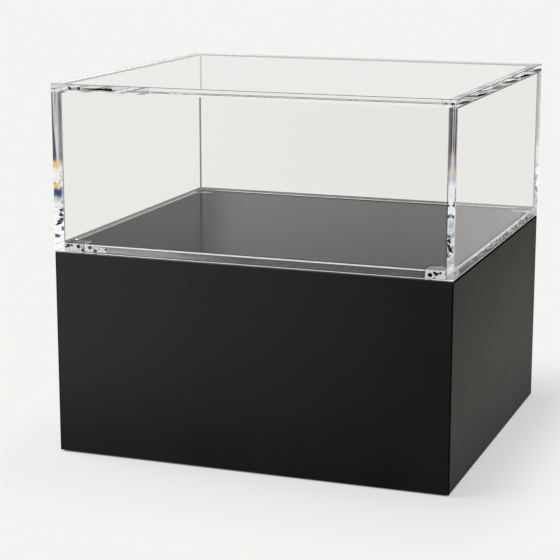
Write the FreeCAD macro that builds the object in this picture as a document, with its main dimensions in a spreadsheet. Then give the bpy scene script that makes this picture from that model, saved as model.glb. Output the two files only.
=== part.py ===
import FreeCAD, Part
import os
import Sketcher

# Acrylic display case: a clear bonded cover that lifts off a black plinth.
# The case stands on z = 0, centred on x and y, with its front towards -y. Sizes are in millimetres.

SIZES = {
    # Outside of the case
    "case_width": 500,
    "case_depth": 450,
    "plinth_height": 255,
    "cover_height": 205,
    # Clear cover
    "sheet_thickness": 10,
    "sheet_arris": 0.6,
    "strip_thickness": 5,
    "block_side": 26,
    "block_radius": 5,
    # Raised deck, which the cover's strips and blocks fit round
    "deck_thickness": 10,
    "deck_chamfer": 0.8,
    "deck_clearance": 0.6,
    # Plinth carcass
    "panel_thickness": 18,
    "panel_arris": 0.8,
    "top_board_thickness": 18,
    "bottom_board_thickness": 12,
    "post_side": 30,
    "cleat_side": 20,
    # Foot pads
    "pad_height": 2,
    "pad_diameter": 30,
    "pad_inset": 62,
    # Countersunk screws, one size for all
    "screw_diameter": 4,
    "screw_head_diameter": 8,
    "screw_head_height": 2.4,
    "screw_tip_length": 4,
    "screw_play": 0.1,
    "deck_screw_inset": 100,
    "deck_tip_cover": 3,
    "post_bite": 20,
}

doc = FreeCAD.newDocument("display_case")
sheet = doc.addObject("Spreadsheet::Sheet", "dims")
for row, (size_name, size_value) in enumerate(SIZES.items(), 1):
    sheet.set(f"A{row}", size_name)
    sheet.set(f"B{row}", str(size_value))
    sheet.setAlias(f"B{row}", size_name)
doc.recompute()

# Formulas that several pieces share
HALF_WIDTH = "dims.case_width / 2"
HALF_DEPTH = "dims.case_depth / 2"
WALL_HEIGHT = "dims.cover_height - dims.sheet_thickness"
INNER_HALF_WIDTH = f"{HALF_WIDTH} - dims.sheet_thickness"
INNER_HALF_DEPTH = f"{HALF_DEPTH} - dims.sheet_thickness"
ROOM_HALF_WIDTH = f"{HALF_WIDTH} - dims.panel_thickness"
ROOM_HALF_DEPTH = f"{HALF_DEPTH} - dims.panel_thickness"
TOP_BOARD_UNDERSIDE = "dims.plinth_height - dims.top_board_thickness"
BOTTOM_BOARD_TOP = "dims.pad_height + dims.bottom_board_thickness"
CLEAT_UNDERSIDE = f"{TOP_BOARD_UNDERSIDE} - dims.cleat_side"

# Each side of the case: the middle of its outer face on the plan, and its turn about z
SIDES = {
    "front": (("0", f"-{HALF_DEPTH}"), 0),
    "right": ((HALF_WIDTH, "0"), 90),
    "back": (("0", HALF_DEPTH), 180),
    "left": ((f"-{HALF_WIDTH}", "0"), -90),
}

# Each corner of the case: its signs along x and y, and its turn about z
CORNERS = {
    "front_left": ("-", "-", 0),
    "front_right": ("", "-", 90),
    "back_right": ("", "", 180),
    "back_left": ("-", "", -90),
}

NEAR = 1e-4
subparts = []


def value(formula):
    """Work out a formula's number from the sheet."""
    return float(sheet.evalExpression(formula))


def place(piece, spot, turn=0):
    """Turn a piece about z and bind its place to three formulas."""
    piece.Placement = FreeCAD.Placement(FreeCAD.Vector(), FreeCAD.Rotation(FreeCAD.Vector(0, 0, 1), turn))
    for axis, formula in zip("xyz", spot):
        piece.setExpression(f"Placement.Base.{axis}", formula)


def keep(piece, label):
    """Name a finished sub-part and list it for writing."""
    piece.Label = label
    subparts.append(piece)
    return piece


def bind_corner(sketch, line, constraint, axis, formula):
    """Hold the start of a line on an axis, or at a formula's distance along x or y."""
    if formula == "0":
        sketch.addConstraint(Sketcher.Constraint("PointOnObject", line, 1, axis))
        return
    number = sketch.addConstraint(Sketcher.Constraint(constraint, -1, 1, line, 1, value(formula)))
    sketch.setExpression(f"Constraints[{number}]", formula)


def prism(name, corners, height):
    """Pad a closed outline on the plan upwards, as the first feature of a new body.

    Args:
        name: the body's name.
        corners: pairs of formulas, the x and y of each corner in turn.
        height: the formula of the pad's length.
    """
    body = doc.addObject("PartDesign::Body", name)
    sketch = body.newObject("Sketcher::SketchObject", f"{name}_outline")
    plan = next(plane for plane in body.Origin.OriginFeatures if plane.Role == "XY_Plane")
    sketch.AttachmentSupport = (plan, [""])
    sketch.MapMode = "FlatFace"
    points = [FreeCAD.Vector(value(x), value(y), 0) for x, y in corners]
    for start, end in zip(points, points[1:] + points[:1]):
        sketch.addGeometry(Part.LineSegment(start, end))
    for line, (x, y) in enumerate(corners):
        previous = (line - 1) % len(corners)
        sketch.addConstraint(Sketcher.Constraint("Coincident", previous, 2, line, 1))
        bind_corner(sketch, line, "DistanceX", -2, x)
        bind_corner(sketch, line, "DistanceY", -1, y)
    pad = body.newObject("PartDesign::Pad", f"{name}_pad")
    pad.Profile = sketch
    pad.setExpression("Length", height)
    doc.recompute()
    return body


def dress(body, kind, size, chosen):
    """Chamfer or fillet the edges of a body's last feature whose middle passes a test."""
    base = body.Tip
    names = [
        f"Edge{number}"
        for number, edge in enumerate(base.Shape.Edges, 1)
        if chosen(edge.CenterOfGravity)
    ]
    feature = body.newObject(f"PartDesign::{kind}", f"{body.Name}_{kind.lower()}")
    feature.Base = (base, names)
    feature.setExpression("Radius" if kind == "Fillet" else "Size", size)
    doc.recompute()


def box(name, size, spot):
    """Add a box whose size and lowest corner follow formulas."""
    piece = doc.addObject("Part::Box", name)
    for side, formula in zip(("Length", "Width", "Height"), size):
        piece.setExpression(side, formula)
    place(piece, spot)
    return piece


def slab_corners(half_length, thickness):
    """Give the plan of a straight slab with its outer face on y = 0."""
    return [
        (f"-({half_length})", "0"),
        (half_length, "0"),
        (half_length, thickness),
        (f"-({half_length})", thickness),
    ]


def on_side(piece, side, height, inset="0"):
    """Stand a piece at one side of the case, its outer face a given depth inside the case's own."""
    (x, y), turn = SIDES[side]
    inward = {"front": (x, f"{y} + {inset}"), "back": (x, f"{y} - ({inset})"),
              "left": (f"{x} + {inset}", y), "right": (f"{x} - ({inset})", y)}
    place(piece, (*inward[side], height), turn)


def cover_top():
    """Lay the top sheet over the four walls, with its exposed edges eased."""
    corners = [
        (f"-{HALF_WIDTH}", f"-{HALF_DEPTH}"),
        (HALF_WIDTH, f"-{HALF_DEPTH}"),
        (HALF_WIDTH, HALF_DEPTH),
        (f"-{HALF_WIDTH}", HALF_DEPTH),
    ]
    body = prism("cover_top_panel", corners, "dims.sheet_thickness")
    dress(body, "Chamfer", "dims.sheet_arris", lambda middle: middle.z > NEAR)
    place(body, ("0", "0", f"dims.plinth_height + {WALL_HEIGHT}"))
    keep(body, "cover_top_panel")


def cover_wall(side, half_length, ends_show):
    """Stand one wall of the cover on the plinth's rim, with its foot and any open ends eased."""
    body = prism(f"cover_{side}_panel", slab_corners(half_length, "dims.sheet_thickness"), WALL_HEIGHT)
    half = value(half_length)
    top = value(WALL_HEIGHT)

    def eased(middle):
        foot = middle.z < NEAR and abs(middle.x) < NEAR
        end = abs(middle.x) > half - NEAR and middle.y < NEAR and NEAR < middle.z < top - NEAR
        return foot or (ends_show and end)

    dress(body, "Chamfer", "dims.sheet_arris", eased)
    on_side(body, side, "dims.plinth_height")
    keep(body, f"cover_{side}_panel")


def rim_strip(side, inner_half_length):
    """Bond a clear strip along the foot of a wall, between two corner blocks."""
    name = f"cover_rim_strip_{side}"
    half_length = f"{inner_half_length} - dims.block_side"
    body = prism(name, slab_corners(half_length, "dims.strip_thickness"), "dims.deck_thickness")
    inner = value("dims.strip_thickness")
    dress(body, "Chamfer", "dims.sheet_arris",
          lambda middle: middle.y > inner - NEAR and abs(middle.x) < NEAR)
    on_side(body, side, "dims.plinth_height", "dims.sheet_thickness")
    keep(body, name)


def corner_block(corner):
    """Bond a clear block into a lower corner of the cover, its inner edge rounded to enter the deck."""
    name = f"cover_corner_block_{corner}"
    square = [("0", "0"), ("dims.block_side", "0"), ("dims.block_side", "dims.block_side"),
              ("0", "dims.block_side")]
    body = prism(name, square, "dims.deck_thickness")
    side = value("dims.block_side")
    tall = value("dims.deck_thickness")
    dress(body, "Fillet", "dims.block_radius",
          lambda middle: middle.x > side - NEAR and middle.y > side - NEAR)
    dress(body, "Chamfer", "dims.sheet_arris",
          lambda middle: min(middle.x, middle.y) > NEAR and abs(middle.z - tall / 2) > tall / 2 - NEAR)
    x_sign, y_sign, turn = CORNERS[corner]
    place(body, (f"{x_sign}({INNER_HALF_WIDTH})", f"{y_sign}({INNER_HALF_DEPTH})", "dims.plinth_height"), turn)
    keep(body, name)


def plinth_panel(side, half_length):
    """Stand one mitred panel of the plinth, its long outer corners eased square to the mitre."""
    thickness = "dims.panel_thickness"
    arris = "dims.panel_arris"
    half_plan = [
        (f"{half_length} - {arris}", "0"),
        (f"{half_length} - {arris} / 2", f"{arris} / 2"),
        (f"{half_length} - {thickness}", thickness),
    ]
    mirrored_plan = [(f"-({x})", y) for x, y in reversed(half_plan)]
    body = prism(f"plinth_{side}_panel", half_plan + mirrored_plan, "dims.plinth_height - dims.pad_height")
    dress(body, "Chamfer", arris,
          lambda middle: middle.y < NEAR and abs(middle.x) < NEAR)
    on_side(body, side, "dims.pad_height")
    keep(body, f"plinth_{side}_panel")


def deck_blank():
    """Pad the raised deck, notched at its corners for the cover's blocks, with a chamfer round its top."""
    edge_x = f"{INNER_HALF_WIDTH} - dims.strip_thickness - dims.deck_clearance"
    edge_y = f"{INNER_HALF_DEPTH} - dims.strip_thickness - dims.deck_clearance"
    notch_x = f"{INNER_HALF_WIDTH} - dims.block_side - dims.deck_clearance"
    notch_y = f"{INNER_HALF_DEPTH} - dims.block_side - dims.deck_clearance"
    quarter = [(edge_x, notch_y), (notch_x, notch_y), (notch_x, edge_y)]
    back_half = quarter + [(f"-({x})", y) for x, y in reversed(quarter)]
    corners = back_half + [(x, f"-({y})") for x, y in reversed(back_half)]
    body = prism("deck_blank", corners, "dims.deck_thickness")
    inner_x = value(notch_x)
    inner_y = value(notch_y)
    tall = value("dims.deck_thickness")
    dress(body, "Fillet", "dims.block_radius + dims.deck_clearance",
          lambda middle: abs(abs(middle.x) - inner_x) < NEAR and abs(abs(middle.y) - inner_y) < NEAR)
    dress(body, "Chamfer", "dims.deck_chamfer", lambda middle: middle.z > tall - NEAR)
    place(body, ("0", "0", "dims.plinth_height"))
    return body


def screw_solid(length, play=0):
    """Turn one countersunk screw, point up, its head's flat face on z = 0."""
    head = value("dims.screw_head_diameter") / 2 + play
    shank = value("dims.screw_diameter") / 2 + play
    shoulder = value("dims.screw_head_height")
    end = length + play
    profile = Part.makePolygon([
        FreeCAD.Vector(0, 0, 0),
        FreeCAD.Vector(head, 0, 0),
        FreeCAD.Vector(shank, 0, shoulder),
        FreeCAD.Vector(shank, 0, end - value("dims.screw_tip_length")),
        FreeCAD.Vector(0, 0, end),
        FreeCAD.Vector(0, 0, 0),
    ])
    return Part.Face(profile).revolve(FreeCAD.Vector(), FreeCAD.Vector(0, 0, 1), 360)


def screw_set(name, points, head_height, length, play=0):
    """Gather like screws, or the holes that clear them, as one group of separate solids."""
    screw = screw_solid(value(length), play)
    spots = [FreeCAD.Vector(value(x), value(y), value(head_height)) for x, y in points]
    group = doc.addObject("Part::Feature", name)
    group.Shape = Part.makeCompound([screw.translated(spot) for spot in spots])
    return group


def drilled(name, blank, holes):
    """Cut a set of screw holes out of a blank."""
    piece = doc.addObject("Part::Cut", name)
    piece.Base = blank
    piece.Tool = holes
    return piece


def four_ways(x, y):
    """Mirror one point of the plan into all four quarters."""
    return [(f"{x_sign}({x})", f"{y_sign}({y})") for x_sign in ("-", "") for y_sign in ("-", "")]


def fastened_set(name, points, head_height, length):
    """Add a set of screws and the tool that drills their holes."""
    keep(screw_set(name, points, head_height, length), name)
    return screw_set(f"{name}_holes", points, head_height, length, value("dims.screw_play"))


def cover():
    """Build the bonded clear cover."""
    cover_top()
    for side in ("front", "back"):
        cover_wall(side, HALF_WIDTH, ends_show=True)
        rim_strip(side, INNER_HALF_WIDTH)
    for side in ("left", "right"):
        cover_wall(side, INNER_HALF_DEPTH, ends_show=False)
        rim_strip(side, INNER_HALF_DEPTH)
    for corner in CORNERS:
        corner_block(corner)


def deck_and_boards():
    """Build the deck and the two boards, drilled for the screws that hold them."""
    screw_x = f"{HALF_WIDTH} - dims.deck_screw_inset"
    screw_y = f"{HALF_DEPTH} - dims.deck_screw_inset"
    deck_holes = fastened_set("deck_screws", four_ways(screw_x, screw_y), TOP_BOARD_UNDERSIDE,
                              "dims.top_board_thickness + dims.deck_thickness - dims.deck_tip_cover")
    keep(drilled("deck", deck_blank(), deck_holes), "display_deck")
    board = box("top_board_blank",
                (f"2 * ({ROOM_HALF_WIDTH})", f"2 * ({ROOM_HALF_DEPTH})", "dims.top_board_thickness"),
                (f"-({ROOM_HALF_WIDTH})", f"-({ROOM_HALF_DEPTH})", TOP_BOARD_UNDERSIDE))
    keep(drilled("top_board", board, deck_holes), "plinth_top_board")

    post_x = f"{ROOM_HALF_WIDTH} - dims.post_side / 2"
    post_y = f"{ROOM_HALF_DEPTH} - dims.post_side / 2"
    post_holes = fastened_set("bottom_board_screws", four_ways(post_x, post_y), "dims.pad_height",
                              "dims.bottom_board_thickness + dims.post_bite")
    floor = box("bottom_board_blank",
                (f"2 * ({ROOM_HALF_WIDTH})", f"2 * ({ROOM_HALF_DEPTH})", "dims.bottom_board_thickness"),
                (f"-({ROOM_HALF_WIDTH})", f"-({ROOM_HALF_DEPTH})", "dims.pad_height"))
    keep(drilled("bottom_board", floor, post_holes), "plinth_bottom_board")
    posts(post_holes)


def cleats():
    """Glue a cleat along each panel between the posts, under the top board."""
    for side in SIDES:
        along = ROOM_HALF_WIDTH if side in ("front", "back") else ROOM_HALF_DEPTH
        corners = slab_corners(f"{along} - dims.post_side", "dims.cleat_side")
        cleat = prism(f"cleat_{side}", corners, "dims.cleat_side")
        on_side(cleat, side, CLEAT_UNDERSIDE, "dims.panel_thickness")
        keep(cleat, f"top_cleat_{side}")


def posts(holes):
    """Stand a post in each corner of the plinth, from the bottom board to the top board."""
    for corner, (x_sign, y_sign, turn) in CORNERS.items():
        square = [("0", "0"), ("dims.post_side", "0"), ("dims.post_side", "dims.post_side"),
                  ("0", "dims.post_side")]
        blank = prism(f"post_blank_{corner}", square, f"{TOP_BOARD_UNDERSIDE} - ({BOTTOM_BOARD_TOP})")
        place(blank, (f"{x_sign}({ROOM_HALF_WIDTH})", f"{y_sign}({ROOM_HALF_DEPTH})", BOTTOM_BOARD_TOP), turn)
        keep(drilled(f"post_{corner}", blank, holes), f"plinth_corner_post_{corner}")


def foot_pads():
    """Stick a low round pad under each corner of the bottom board."""
    for corner, (x_sign, y_sign, _) in CORNERS.items():
        pad = doc.addObject("Part::Cylinder", f"pad_{corner}")
        pad.setExpression("Radius", "dims.pad_diameter / 2")
        pad.setExpression("Height", "dims.pad_height")
        place(pad, (f"{x_sign}({HALF_WIDTH} - dims.pad_inset)", f"{y_sign}({HALF_DEPTH} - dims.pad_inset)", "0"))
        keep(pad, f"foot_pad_{corner}")


def plinth():
    """Build the plinth with its deck, boards, posts, cleats, screws and pads."""
    for side in SIDES:
        plinth_panel(side, HALF_WIDTH if side in ("front", "back") else HALF_DEPTH)
    deck_and_boards()
    cleats()
    foot_pads()


def check_document():
    """Stop if any object failed to compute or any sub-part has no sound solid."""
    for item in doc.Objects:
        if "Invalid" in item.State or "Error" in item.State:
            raise RuntimeError(f"{item.Label} failed: {item.State}")
    for piece in subparts:
        if piece.Shape.isNull() or not piece.Shape.isValid() or not piece.Shape.Solids:
            raise RuntimeError(f"{piece.Label} has no sound solid")


cover()
plinth()
doc.recompute()
check_document()
os.makedirs("parts", exist_ok=True)
for subpart in subparts:
    subpart.Shape.exportStep(f"parts/{subpart.Label}.step")
    print(f"{subpart.Label}: {len(subpart.Shape.Solids)} solids, {subpart.Shape.Volume:.1f} mm3")
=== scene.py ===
"""Looks of the acrylic display case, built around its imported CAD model.

The clear cover, its seams, its rim strips and its corner blocks are made here; the plinth, the deck and
what is hidden inside keep their CAD shapes and get their finishes.
"""
import logging
import math
from dataclasses import dataclass
from enum import Enum, IntEnum

import bmesh
import bpy
from mathutils import Euler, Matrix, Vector


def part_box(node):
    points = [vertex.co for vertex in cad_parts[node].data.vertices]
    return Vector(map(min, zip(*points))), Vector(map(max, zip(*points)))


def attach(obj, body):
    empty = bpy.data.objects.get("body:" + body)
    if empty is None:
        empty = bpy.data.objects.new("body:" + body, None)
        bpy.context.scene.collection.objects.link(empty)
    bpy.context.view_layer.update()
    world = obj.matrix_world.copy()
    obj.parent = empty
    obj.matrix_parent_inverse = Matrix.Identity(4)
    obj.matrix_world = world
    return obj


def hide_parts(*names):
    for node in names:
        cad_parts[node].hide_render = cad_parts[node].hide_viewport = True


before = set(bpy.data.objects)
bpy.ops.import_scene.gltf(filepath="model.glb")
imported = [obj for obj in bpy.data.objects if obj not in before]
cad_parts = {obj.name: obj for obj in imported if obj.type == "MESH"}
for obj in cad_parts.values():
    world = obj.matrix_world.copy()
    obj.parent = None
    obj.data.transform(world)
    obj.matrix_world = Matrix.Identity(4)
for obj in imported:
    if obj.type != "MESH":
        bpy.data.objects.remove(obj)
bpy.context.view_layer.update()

LOG = logging.getLogger("display_case")

Colour = tuple[float, float, float]
Point = tuple[float, float, float]
Pair = tuple[float, float]
Socket = bpy.types.NodeSocket

# Each corner with its signs along X and Y, and each side with the two corners that it runs between.
CORNERS = {"front_left": (-1, -1), "front_right": (1, -1), "back_right": (1, 1), "back_left": (-1, 1)}
SIDES = {"front": ("front_left", "front_right"), "right": ("front_right", "back_right"),
         "back": ("back_right", "back_left"), "left": ("back_left", "front_left")}
UP = Vector((0.0, 0.0, 1.0))

# The name of the map that runs along and across a film of glue.
SEAM_MAP = "seam"
# A filter of this colour lets all light by.
CLEAR: Colour = (1.0, 1.0, 1.0)
ACRYLIC_IOR = 1.49
SOFTWOOD_PALE: Colour = (0.62, 0.47, 0.30)
SOFTWOOD_DARK: Colour = (0.50, 0.35, 0.20)
BACKDROP: Colour = (0.905, 0.896, 0.880)

# A face whose normal rises more than this is level, or at least slanted.
LEVEL_RISE = 0.9
SLANTED_RISE = 0.3
# Heights closer than this are the same.
SAME_HEIGHT = 1e-6


class Body(Enum):
    """The CAD bodies that pieces ride on."""

    PLINTH = "plinth"
    COVER = "cover"


class Slot(Enum):
    """Names of the material slots for the pieces made here; nothing in this script sets them."""

    ACRYLIC = "clear_acrylic"
    LACQUER = "black_lacquer"
    STEEL = "screw_steel"


class Grain(Enum):
    """The way that a timber's grain runs, as the stretch of its pattern along X, Y and Z."""

    ALONG_X = (0.06, 1.0, 1.0)
    ALONG_Y = (1.0, 0.06, 1.0)
    UPRIGHT = (1.0, 1.0, 0.06)


class Film(Enum):
    """The ways that cured glue, and the light painted into it, look in the cover's seams."""

    UPRIGHT = "upright"
    CLEAN = "clean"
    MARKED = "marked"
    WEDGE = "wedge"
    STEP = "step"
    DOT = "dot"
    PATCH = "patch"
    FLECK = "fleck"
    CLOUD = "cloud"
    FILLET = "fillet"


class ShellFace(IntEnum):
    """The material slots of the cover's shell."""

    OUTER = 0
    INNER = 1
    SAWN = 2
    SCRAPED = 3


class EasedFace(IntEnum):
    """The material slots of a strip or a block with eased edges."""

    SIDE = 0
    ARRIS = 1
    TOP = 2


class NodeTree:
    """Builds one node tree with short calls."""

    def __init__(self, tree: bpy.types.NodeTree) -> None:
        """Empty the tree and keep it."""
        self.tree = tree
        tree.nodes.clear()

    def add(self, kind: str, inputs: dict | None = None, **settings: object) -> bpy.types.Node:
        """Add a node, set its properties, and set or link its inputs.

        Args:
            kind: The node's class name.
            inputs: Values or sockets by the input's name or number.
            **settings: The node's own properties.

        Returns:
            The new node.
        """
        node = self.tree.nodes.new(kind)
        for name, setting in settings.items():
            setattr(node, name, setting)
        for name, entry in (inputs or {}).items():
            self.feed(node.inputs[name], entry)
        return node

    def feed(self, target: Socket, entry: object) -> None:
        """Link a socket to an input, or set the input's plain value.

        Args:
            target: The input.
            entry: A socket to link, a number, or a colour or vector.
        """
        if isinstance(entry, bpy.types.NodeSocket):
            self.tree.links.new(entry, target)
        elif isinstance(entry, tuple) and target.type == "RGBA":
            target.default_value = (*entry, 1.0)
        else:
            target.default_value = entry

    def math(self, operation: str, *terms: object) -> Socket:
        """Return a Math node's result for the given terms."""
        return self.add("ShaderNodeMath", dict(enumerate(terms)), operation=operation).outputs[0]

    def times(self, first: object, second: object) -> Socket:
        """Return the product of two numbers."""
        return self.math("MULTIPLY", first, second)

    def off(self, value: Socket, middle: object) -> Socket:
        """Return how far a value lies from a middle."""
        return self.math("ABSOLUTE", self.math("SUBTRACT", value, middle))

    def between(self, share: object, first: Socket, second: Socket) -> Socket:
        """Mix two numbers.

        Args:
            share: How much of the second number counts.
            first: The first number.
            second: The second number.

        Returns:
            The mixed number.
        """
        return self.add("ShaderNodeMix", {0: share, 2: first, 3: second}, data_type="FLOAT").outputs[0]

    def upward(self, height: Socket) -> Socket:
        """Return a vector straight up."""
        return self.add("ShaderNodeCombineXYZ", {"Z": height}).outputs[0]

    def band(self, value: Socket, start: float, end: float, low: float = 0.0, high: float = 1.0) -> Socket:
        """Blend smoothly from one number to another over a range of a value.

        Args:
            value: The value to read.
            start: Where the blend starts.
            end: Where it ends.
            low: The number at and before the start.
            high: The number at and after the end.

        Returns:
            The blended number.
        """
        limits = {"Value": value, "From Min": start, "From Max": end, "To Min": low, "To Max": high}
        return self.add("ShaderNodeMapRange", limits, interpolation_type="SMOOTHSTEP").outputs[0]

    def fade(self, value: Socket, start: float, end: float, level: float = 1.0) -> Socket:
        """Return a level that falls smoothly to nothing over a range of a value."""
        return self.band(value, start, end, level, 0.0)

    def ramp(self, value: Socket, stops: list[tuple[float, Colour]], steps: bool = False) -> Socket:
        """Colour a value through a list of stops.

        Args:
            value: The value to read, from 0 to 1.
            stops: Positions with their colours, in order.
            steps: True for hard steps in place of blends.

        Returns:
            The colour.
        """
        node = self.add("ShaderNodeValToRGB", {"Fac": value})
        node.color_ramp.interpolation = "CONSTANT" if steps else "LINEAR"
        points = node.color_ramp.elements
        while len(points) < len(stops):
            points.new(1.0)
        for point, (position, colour) in zip(points, stops):
            point.position = position
            point.color = (*colour, 1.0)
        return node.outputs["Color"]

    def noise(self, place: Socket, scale: float, detail: float = 2.0, roughness: float = 0.5) -> Socket:
        """Return a noise pattern's strength at a place."""
        inputs = {"Vector": place, "Scale": scale, "Detail": detail, "Roughness": roughness}
        return self.add("ShaderNodeTexNoise", inputs).outputs["Fac"]

    def stretched(self, place: Socket, scale: Point) -> Socket:
        """Return a place scaled along each axis."""
        return self.add("ShaderNodeMapping", {"Vector": place, "Scale": scale}).outputs[0]

    def blend(self, share: object, first: object, second: object, kind: str = "MIX") -> Socket:
        """Mix two colours.

        Args:
            share: How much of the second colour shows.
            first: The first colour.
            second: The second colour.
            kind: The way of mixing.

        Returns:
            The mixed colour.
        """
        node = self.add("ShaderNodeMix", data_type="RGBA", blend_type=kind)
        for index, entry in ((0, share), (6, first), (7, second)):
            self.feed(node.inputs[index], entry)
        return node.outputs[2]

    def bump(self, height: Socket, strength: float, distance: float) -> Socket:
        """Return a normal that is roughened by a height pattern."""
        inputs = {"Height": height, "Strength": strength, "Distance": distance}
        return self.add("ShaderNodeBump", inputs).outputs[0]

    def place(self) -> Socket:
        """Return the point on the piece, in metres."""
        return self.add("ShaderNodeTexCoord").outputs["Object"]

    def sight(self) -> Socket:
        """Return 1 for rays by which the background is seen, straight on, mirrored or through glass."""
        path = self.add("ShaderNodeLightPath")
        mirrored = self.math("MAXIMUM", path.outputs["Is Camera Ray"], path.outputs["Is Glossy Ray"])
        return self.math("MAXIMUM", mirrored, path.outputs["Is Transmission Ray"])

    def behind(self) -> Socket:
        """Return 1 where a face is seen from inside the sheet."""
        return self.add("ShaderNodeNewGeometry").outputs["Backfacing"]

    def mixed(self, share: object, first: bpy.types.Node, second: bpy.types.Node) -> bpy.types.Node:
        """Mix two shaders.

        Args:
            share: How much of the second shader shows.
            first: The first shader's node.
            second: The second shader's node.

        Returns:
            The mixing node.
        """
        return self.add("ShaderNodeMixShader", {0: share, 1: first.outputs[0], 2: second.outputs[0]})

    def surface(self, shader: bpy.types.Node) -> None:
        """Send a shader to the tree's surface output."""
        self.add("ShaderNodeOutputMaterial", {"Surface": shader.outputs[0]})


class SeamTree(NodeTree):
    """A glue film's node tree, which knows the film's own map: its way along and its way across, as shares of it."""

    def __init__(self, tree: bpy.types.NodeTree) -> None:
        """Empty the tree and read the film's map.

        Args:
            tree: The tree to build in.
        """
        super().__init__(tree)
        self.spot = self.add("ShaderNodeUVMap", uv_map=SEAM_MAP).outputs[0]
        axes = self.add("ShaderNodeSeparateXYZ", {0: self.spot}).outputs
        self.along, self.across = axes[0], axes[1]


def new_material(name: str) -> tuple[bpy.types.Material, NodeTree]:
    """Make a node material and the builder of its tree.

    Args:
        name: The material's name.

    Returns:
        The material and its tree builder.
    """
    material = bpy.data.materials.new(name)
    material.use_nodes = True
    return material, NodeTree(material.node_tree)


@dataclass(frozen=True)
class ClearAcrylic:
    """Polished cast acrylic that lamps shine through, with or without a mirroring outer face."""

    name: str
    tint: Colour = (0.972, 0.972, 0.970)
    ior: float = ACRYLIC_IOR
    haze: float = 0.0035
    mirrors: bool = True
    lamp_tint: Colour = (0.93, 0.935, 0.93)
    trapped_from: float = 0.98

    def material(self) -> bpy.types.Material:
        """Return the acrylic's material, which carries light along the sheet and lets the rest out."""
        material, nodes = new_material(self.name)
        polish = nodes.band(nodes.noise(nodes.place(), 9.0, 4.0), 0.45, 0.75, 0.0, self.haze)
        sheet = {"Roughness": polish, "IOR": self.ior}
        glass = nodes.add("ShaderNodeBsdfPrincipled", {"Base Color": self.tint, "Transmission Weight": 1.0, **sheet})
        plain = nodes.add("ShaderNodeBsdfRefraction", {"Color": self.tint, **sheet})
        share = nodes.add("ShaderNodeFresnel", {"IOR": self.ior}).outputs[0]
        trapped = nodes.math("GREATER_THAN", share, self.trapped_from)
        inner = nodes.mixed(trapped, plain, glass)
        face = nodes.mixed(nodes.behind(), glass if self.mirrors else plain, inner)
        lamp_light = nodes.add("ShaderNodeBsdfTransparent", {"Color": self.lamp_tint})
        shadow = nodes.add("ShaderNodeLightPath").outputs["Is Shadow Ray"]
        nodes.surface(nodes.mixed(shadow, face, lamp_light))
        return material


# The tones of the seams: whites of the glue's clouds, greys of its lines and of painted reflections, blues and ambers
# of painted glints, and the black of bubbles and of painted specks.
MILK_WHITE: Colour = (0.90, 0.90, 0.89)
SILVER_WHITE: Colour = (0.96, 0.96, 0.955)
LINE_GREY: Colour = (0.32, 0.32, 0.34)
EDGE_GREY: Colour = (0.40, 0.40, 0.42)
STEP_GREY: Colour = (0.40, 0.40, 0.41)
STREAK_GREY: Colour = (0.36, 0.36, 0.37)
CLOUD_GREY: Colour = (0.82, 0.82, 0.83)
WARM_GREY: Colour = (0.50, 0.48, 0.46)
GLINT_BLUE: Colour = (0.22, 0.27, 0.38)
DEEP_BLUE: Colour = (0.15, 0.26, 0.46)
AMBER: Colour = (1.0, 0.78, 0.45)
PALE_AMBER: Colour = (1.0, 0.84, 0.66)
BUBBLE_BLACK: Colour = (0.15, 0.15, 0.16)
TAPER_BLACK: Colour = (0.14, 0.15, 0.18)
DOT_BLACK: Colour = (0.12, 0.12, 0.14)
FLECK_BLACK: Colour = (0.08, 0.09, 0.11)


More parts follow.
